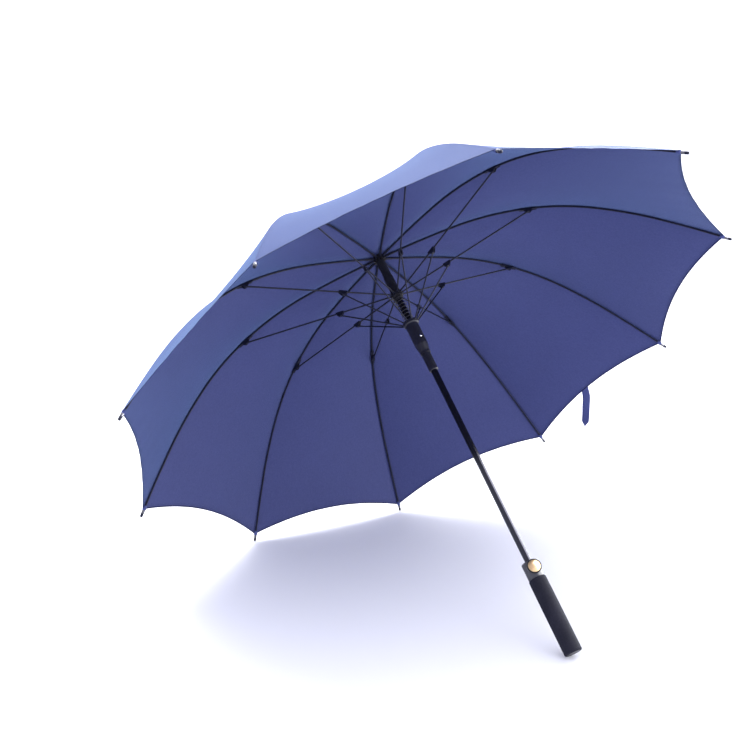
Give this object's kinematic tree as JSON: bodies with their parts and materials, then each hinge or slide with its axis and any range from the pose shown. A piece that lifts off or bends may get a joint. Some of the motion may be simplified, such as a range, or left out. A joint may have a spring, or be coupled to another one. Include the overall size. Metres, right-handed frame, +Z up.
{
  "type": "golf umbrella",
  "caption": "Large push-button stick umbrella with a straight foam grip, a pointed ferrule, curved ribs and a shallow single-layer canopy that folds down along the shaft.",
  "frame": {"origin": "middle of the foam grip, on the axis of the shaft", "axes": "+Z up the shaft from the grip to the ferrule, -Y the side of the push button, canopy open"},
  "size_m": [1.2768, 1.3422, 0.9995],
  "materials": {
    "rib": "satin black glass fibre",
    "linkage": "satin black",
    "shaft": "gloss black",
    "fittings": "satin",
    "runner": "gloss",
    "ferrule": "gloss",
    "pins": "bright",
    "spring": "bright",
    "cloth": "plain woven",
    "strap": "plain woven",
    "core": "moulded",
    "foam": "fine closed cell foam",
    "collar": "satin dark grey",
    "button": "satin gold",
    "trim": "gloss"
  },
  "bodies": {
    "frame": {"shaft": "shaft", "crown": "fittings", "crown_pins": "pins", "spring_cover": "fittings", "ferrule": "ferrule", "rosette": "cloth", "canopy": "cloth", "tie_strap": "strap", "handle_core": "core", "foam_grip": "foam", "end_plug": "core", "collar": "collar", "button_ring": "trim", "button_spring": "spring"},
    "push_button": {"button": "button", "latch": "pins"},
    "rib_inner_01": {"rib_inner_01": "rib"},
    "rib_inner_02": {"rib_inner_02": "rib"},
    "rib_inner_03": {"rib_inner_03": "rib"},
    "rib_inner_04": {"rib_inner_04": "rib"},
    "rib_inner_05": {"rib_inner_05": "rib"},
    "rib_inner_06": {"rib_inner_06": "rib"},
    "rib_inner_07": {"rib_inner_07": "rib"},
    "rib_inner_08": {"rib_inner_08": "rib"},
    "rib_inner_09": {"rib_inner_09": "rib"},
    "rib_inner_10": {"rib_inner_10": "rib"},
    "rib_outer_01": {"rib_outer_01": "rib"},
    "rib_outer_02": {"rib_outer_02": "rib"},
    "rib_outer_03": {"rib_outer_03": "rib"},
    "rib_outer_04": {"rib_outer_04": "rib"},
    "rib_outer_05": {"rib_outer_05": "rib"},
    "rib_outer_06": {"rib_outer_06": "rib"},
    "rib_outer_07": {"rib_outer_07": "rib"},
    "rib_outer_08": {"rib_outer_08": "rib"},
    "rib_outer_09": {"rib_outer_09": "rib"},
    "rib_outer_10": {"rib_outer_10": "rib"},
    "stretcher_01": {"stretcher_01": "linkage"},
    "stretcher_02": {"stretcher_02": "linkage"},
    "stretcher_03": {"stretcher_03": "linkage"},
    "stretcher_04": {"stretcher_04": "linkage"},
    "stretcher_05": {"stretcher_05": "linkage"},
    "stretcher_06": {"stretcher_06": "linkage"},
    "stretcher_07": {"stretcher_07": "linkage"},
    "stretcher_08": {"stretcher_08": "linkage"},
    "stretcher_09": {"stretcher_09": "linkage"},
    "stretcher_10": {"stretcher_10": "linkage"},
    "link_01": {"link_01": "linkage"},
    "link_02": {"link_02": "linkage"},
    "link_03": {"link_03": "linkage"},
    "link_04": {"link_04": "linkage"},
    "link_05": {"link_05": "linkage"},
    "link_06": {"link_06": "linkage"},
    "link_07": {"link_07": "linkage"},
    "link_08": {"link_08": "linkage"},
    "link_09": {"link_09": "linkage"},
    "link_10": {"link_10": "linkage"},
    "upper_runner": {"upper_runner": "fittings", "runner_pins": "pins", "main_spring": "spring"},
    "lower_runner": {"lower_runner": "runner"}
  },
  "joints": [
    {"name": "rib_inner_01_fold", "type": "hinge", "parent": "frame", "child": "rib_inner_01", "pos_m": [0, -0.011, 0.8585], "axis": [1, 0, 0], "range_deg": [0, 79.23], "stiffness_Nm_per_rad": 1.2, "springref_deg": -85.94, "deforming": ["canopy", "tie_strap"]},
    {"name": "rib_inner_02_fold", "type": "hinge", "parent": "frame", "child": "rib_inner_02", "pos_m": [0.00647, -0.0089, 0.8585], "axis": [0.809, 0.5878, 0], "range_deg": [0, 79.23]},
    {"name": "rib_inner_03_fold", "type": "hinge", "parent": "frame", "child": "rib_inner_03", "pos_m": [0.01046, -0.0034, 0.8585], "axis": [0.309, 0.9511, 0], "range_deg": [0, 79.23]},
    {"name": "rib_inner_04_fold", "type": "hinge", "parent": "frame", "child": "rib_inner_04", "pos_m": [0.01046, 0.0034, 0.8585], "axis": [-0.309, 0.9511, 0], "range_deg": [0, 79.23]},
    {"name": "rib_inner_05_fold", "type": "hinge", "parent": "frame", "child": "rib_inner_05", "pos_m": [0.00647, 0.0089, 0.8585], "axis": [-0.809, 0.5878, 0], "range_deg": [0, 79.23]},
    {"name": "rib_inner_06_fold", "type": "hinge", "parent": "frame", "child": "rib_inner_06", "pos_m": [0, 0.011, 0.8585], "axis": [-1, 0, 0], "range_deg": [0, 79.23]},
    {"name": "rib_inner_07_fold", "type": "hinge", "parent": "frame", "child": "rib_inner_07", "pos_m": [-0.00647, 0.0089, 0.8585], "axis": [-0.809, -0.5878, 0], "range_deg": [0, 79.23]},
    {"name": "rib_inner_08_fold", "type": "hinge", "parent": "frame", "child": "rib_inner_08", "pos_m": [-0.01046, 0.0034, 0.8585], "axis": [-0.309, -0.9511, 0], "range_deg": [0, 79.23]},
    {"name": "rib_inner_09_fold", "type": "hinge", "parent": "frame", "child": "rib_inner_09", "pos_m": [-0.01046, -0.0034, 0.8585], "axis": [0.309, -0.9511, 0], "range_deg": [0, 79.23]},
    {"name": "rib_inner_10_fold", "type": "hinge", "parent": "frame", "child": "rib_inner_10", "pos_m": [-0.00647, -0.0089, 0.8585], "axis": [0.809, -0.5878, 0], "range_deg": [0, 79.23]},
    {"name": "rib_outer_01_flex", "type": "hinge", "parent": "rib_inner_01", "child": "rib_outer_01", "pos_m": [0, -0.34352, 0.8121], "axis": [1, 0, 0], "range_deg": [-28.58, 0]},
    {"name": "rib_outer_02_flex", "type": "hinge", "parent": "rib_inner_02", "child": "rib_outer_02", "pos_m": [0.20192, -0.27791, 0.8121], "axis": [0.809, 0.5878, 0], "range_deg": [-28.58, 0]},
    {"name": "rib_outer_03_flex", "type": "hinge", "parent": "rib_inner_03", "child": "rib_outer_03", "pos_m": [0.32671, -0.10615, 0.8121], "axis": [0.309, 0.9511, 0], "range_deg": [-28.58, 0]},
    {"name": "rib_outer_04_flex", "type": "hinge", "parent": "rib_inner_04", "child": "rib_outer_04", "pos_m": [0.32671, 0.10615, 0.8121], "axis": [-0.309, 0.9511, 0], "range_deg": [-28.58, 0]},
    {"name": "rib_outer_05_flex", "type": "hinge", "parent": "rib_inner_05", "child": "rib_outer_05", "pos_m": [0.20192, 0.27791, 0.8121], "axis": [-0.809, 0.5878, 0], "range_deg": [-28.58, 0]},
    {"name": "rib_outer_06_flex", "type": "hinge", "parent": "rib_inner_06", "child": "rib_outer_06", "pos_m": [0, 0.34352, 0.8121], "axis": [-1, 0, 0], "range_deg": [-28.58, 0]},
    {"name": "rib_outer_07_flex", "type": "hinge", "parent": "rib_inner_07", "child": "rib_outer_07", "pos_m": [-0.20192, 0.27791, 0.8121], "axis": [-0.809, -0.5878, 0], "range_deg": [-28.58, 0]},
    {"name": "rib_outer_08_flex", "type": "hinge", "parent": "rib_inner_08", "child": "rib_outer_08", "pos_m": [-0.32671, 0.10615, 0.8121], "axis": [-0.309, -0.9511, 0], "range_deg": [-28.58, 0]},
    {"name": "rib_outer_09_flex", "type": "hinge", "parent": "rib_inner_09", "child": "rib_outer_09", "pos_m": [-0.32671, -0.10615, 0.8121], "axis": [0.309, -0.9511, 0], "range_deg": [-28.58, 0]},
    {"name": "rib_outer_10_flex", "type": "hinge", "parent": "rib_inner_10", "child": "rib_outer_10", "pos_m": [-0.20192, -0.27791, 0.8121], "axis": [0.809, -0.5878, 0], "range_deg": [-28.58, 0]},
    {"name": "stretcher_01_swing", "type": "hinge", "parent": "rib_inner_01", "child": "stretcher_01", "pos_m": [0, -0.33407, 0.8098], "axis": [1, 0, 0], "range_deg": [-158.48, 0]},
    {"name": "stretcher_02_swing", "type": "hinge", "parent": "rib_inner_02", "child": "stretcher_02", "pos_m": [0.19636, -0.27026, 0.8098], "axis": [0.809, 0.5878, 0], "range_deg": [-158.48, 0]},
    {"name": "stretcher_03_swing", "type": "hinge", "parent": "rib_inner_03", "child": "stretcher_03", "pos_m": [0.31772, -0.10323, 0.8098], "axis": [0.309, 0.9511, 0], "range_deg": [-158.48, 0]},
    {"name": "stretcher_04_swing", "type": "hinge", "parent": "rib_inner_04", "child": "stretcher_04", "pos_m": [0.31772, 0.10323, 0.8098], "axis": [-0.309, 0.9511, 0], "range_deg": [-158.48, 0]},
    {"name": "stretcher_05_swing", "type": "hinge", "parent": "rib_inner_05", "child": "stretcher_05", "pos_m": [0.19636, 0.27026, 0.8098], "axis": [-0.809, 0.5878, 0], "range_deg": [-158.48, 0]},
    {"name": "stretcher_06_swing", "type": "hinge", "parent": "rib_inner_06", "child": "stretcher_06", "pos_m": [0, 0.33407, 0.8098], "axis": [-1, 0, 0], "range_deg": [-158.48, 0]},
    {"name": "stretcher_07_swing", "type": "hinge", "parent": "rib_inner_07", "child": "stretcher_07", "pos_m": [-0.19636, 0.27026, 0.8098], "axis": [-0.809, -0.5878, 0], "range_deg": [-158.48, 0]},
    {"name": "stretcher_08_swing", "type": "hinge", "parent": "rib_inner_08", "child": "stretcher_08", "pos_m": [-0.31772, 0.10323, 0.8098], "axis": [-0.309, -0.9511, 0], "range_deg": [-158.48, 0]},
    {"name": "stretcher_09_swing", "type": "hinge", "parent": "rib_inner_09", "child": "stretcher_09", "pos_m": [-0.31772, -0.10323, 0.8098], "axis": [0.309, -0.9511, 0], "range_deg": [-158.48, 0]},
    {"name": "stretcher_10_swing", "type": "hinge", "parent": "rib_inner_10", "child": "stretcher_10", "pos_m": [-0.19636, -0.27026, 0.8098], "axis": [0.809, -0.5878, 0], "range_deg": [-158.48, 0]},
    {"name": "link_01_swing", "type": "hinge", "parent": "stretcher_01", "child": "link_01", "pos_m": [0, -0.12652, 0.77285], "axis": [1, 0, 0], "range_deg": [0, 29.7]},
    {"name": "link_02_swing", "type": "hinge", "parent": "stretcher_02", "child": "link_02", "pos_m": [0.07437, -0.10236, 0.77285], "axis": [0.809, 0.5878, 0], "range_deg": [0, 29.7]},
    {"name": "link_03_swing", "type": "hinge", "parent": "stretcher_03", "child": "link_03", "pos_m": [0.12033, -0.0391, 0.77285], "axis": [0.309, 0.9511, 0], "range_deg": [0, 29.7]},
    {"name": "link_04_swing", "type": "hinge", "parent": "stretcher_04", "child": "link_04", "pos_m": [0.12033, 0.0391, 0.77285], "axis": [-0.309, 0.9511, 0], "range_deg": [0, 29.7]},
    {"name": "link_05_swing", "type": "hinge", "parent": "stretcher_05", "child": "link_05", "pos_m": [0.07437, 0.10236, 0.77285], "axis": [-0.809, 0.5878, 0], "range_deg": [0, 29.7]},
    {"name": "link_06_swing", "type": "hinge", "parent": "stretcher_06", "child": "link_06", "pos_m": [0, 0.12652, 0.77285], "axis": [-1, 0, 0], "range_deg": [0, 29.7]},
    {"name": "link_07_swing", "type": "hinge", "parent": "stretcher_07", "child": "link_07", "pos_m": [-0.07437, 0.10236, 0.77285], "axis": [-0.809, -0.5878, 0], "range_deg": [0, 29.7]},
    {"name": "link_08_swing", "type": "hinge", "parent": "stretcher_08", "child": "link_08", "pos_m": [-0.12033, 0.0391, 0.77285], "axis": [-0.309, -0.9511, 0], "range_deg": [0, 29.7]},
    {"name": "link_09_swing", "type": "hinge", "parent": "stretcher_09", "child": "link_09", "pos_m": [-0.12033, -0.0391, 0.77285], "axis": [0.309, -0.9511, 0], "range_deg": [0, 29.7]},
    {"name": "link_10_swing", "type": "hinge", "parent": "stretcher_10", "child": "link_10", "pos_m": [-0.07437, -0.10236, 0.77285], "axis": [0.809, -0.5878, 0], "range_deg": [0, 29.7]},
    {"name": "upper_runner_level", "type": "hinge", "parent": "stretcher_01", "child": "upper_runner", "pos_m": [0, -0.011, 0.7611], "axis": [1, 0, 0], "range_deg": [0, 79.24]},
    {"name": "lower_runner_slide", "type": "slide", "parent": "upper_runner", "child": "lower_runner", "axis": [0, 0, 1], "range_m": [0, 0.04988], "deforming": ["main_spring"]},
    {"name": "push_button_press", "type": "slide", "parent": "frame", "child": "push_button", "axis": [0, 1, 0], "range_m": [0, 0.0025], "stiffness_N_per_m": 1500, "springref_m": -0.0015, "deforming": ["button_spring"]}
  ],
  "couplings": [
    {"joint": "rib_inner_02_fold", "follows": "rib_inner_01_fold", "ratio": 1},
    {"joint": "rib_inner_03_fold", "follows": "rib_inner_01_fold", "ratio": 1},
    {"joint": "rib_inner_04_fold", "follows": "rib_inner_01_fold", "ratio": 1},
    {"joint": "rib_inner_05_fold", "follows": "rib_inner_01_fold", "ratio": 1},
    {"joint": "rib_inner_06_fold", "follows": "rib_inner_01_fold", "ratio": 1},
    {"joint": "rib_inner_07_fold", "follows": "rib_inner_01_fold", "ratio": 1},
    {"joint": "rib_inner_08_fold", "follows": "rib_inner_01_fold", "ratio": 1},
    {"joint": "rib_inner_09_fold", "follows": "rib_inner_01_fold", "ratio": 1},
    {"joint": "rib_inner_10_fold", "follows": "rib_inner_01_fold", "ratio": 1},
    {"joint": "rib_outer_01_flex", "follows": "rib_inner_01_fold", "ratio": -0.3606},
    {"joint": "rib_outer_02_flex", "follows": "rib_inner_01_fold", "ratio": -0.3606},
    {"joint": "rib_outer_03_flex", "follows": "rib_inner_01_fold", "ratio": -0.3606},
    {"joint": "rib_outer_04_flex", "follows": "rib_inner_01_fold", "ratio": -0.3606},
    {"joint": "rib_outer_05_flex", "follows": "rib_inner_01_fold", "ratio": -0.3606},
    {"joint": "rib_outer_06_flex", "follows": "rib_inner_01_fold", "ratio": -0.3606},
    {"joint": "rib_outer_07_flex", "follows": "rib_inner_01_fold", "ratio": -0.3606},
    {"joint": "rib_outer_08_flex", "follows": "rib_inner_01_fold", "ratio": -0.3606},
    {"joint": "rib_outer_09_flex", "follows": "rib_inner_01_fold", "ratio": -0.3606},
    {"joint": "rib_outer_10_flex", "follows": "rib_inner_01_fold", "ratio": -0.3606},
    {"joint": "stretcher_01_swing", "follows": "rib_inner_01_fold", "ratio": -2},
    {"joint": "stretcher_02_swing", "follows": "rib_inner_01_fold", "ratio": -2},
    {"joint": "stretcher_03_swing", "follows": "rib_inner_01_fold", "ratio": -2},
    {"joint": "stretcher_04_swing", "follows": "rib_inner_01_fold", "ratio": -2},
    {"joint": "stretcher_05_swing", "follows": "rib_inner_01_fold", "ratio": -2},
    {"joint": "stretcher_06_swing", "follows": "rib_inner_01_fold", "ratio": -2},
    {"joint": "stretcher_07_swing", "follows": "rib_inner_01_fold", "ratio": -2},
    {"joint": "stretcher_08_swing", "follows": "rib_inner_01_fold", "ratio": -2},
    {"joint": "stretcher_09_swing", "follows": "rib_inner_01_fold", "ratio": -2},
    {"joint": "stretcher_10_swing", "follows": "rib_inner_01_fold", "ratio": -2},
    {"joint": "link_01_swing", "follows": "rib_inner_01_fold", "ratio": 0.37467},
    {"joint": "link_02_swing", "follows": "rib_inner_01_fold", "ratio": 0.37467},
    {"joint": "link_03_swing", "follows": "rib_inner_01_fold", "ratio": 0.37467},
    {"joint": "link_04_swing", "follows": "rib_inner_01_fold", "ratio": 0.37467},
    {"joint": "link_05_swing", "follows": "rib_inner_01_fold", "ratio": 0.37467},
    {"joint": "link_06_swing", "follows": "rib_inner_01_fold", "ratio": 0.37467},
    {"joint": "link_07_swing", "follows": "rib_inner_01_fold", "ratio": 0.37467},
    {"joint": "link_08_swing", "follows": "rib_inner_01_fold", "ratio": 0.37467},
    {"joint": "link_09_swing", "follows": "rib_inner_01_fold", "ratio": 0.37467},
    {"joint": "link_10_swing", "follows": "rib_inner_01_fold", "ratio": 0.37467},
    {"joint": "upper_runner_level", "follows": "rib_inner_01_fold", "ratio": 1},
    {"joint": "lower_runner_slide", "follows": "rib_inner_01_fold", "m_per_rad": 0.036057}
  ]
}
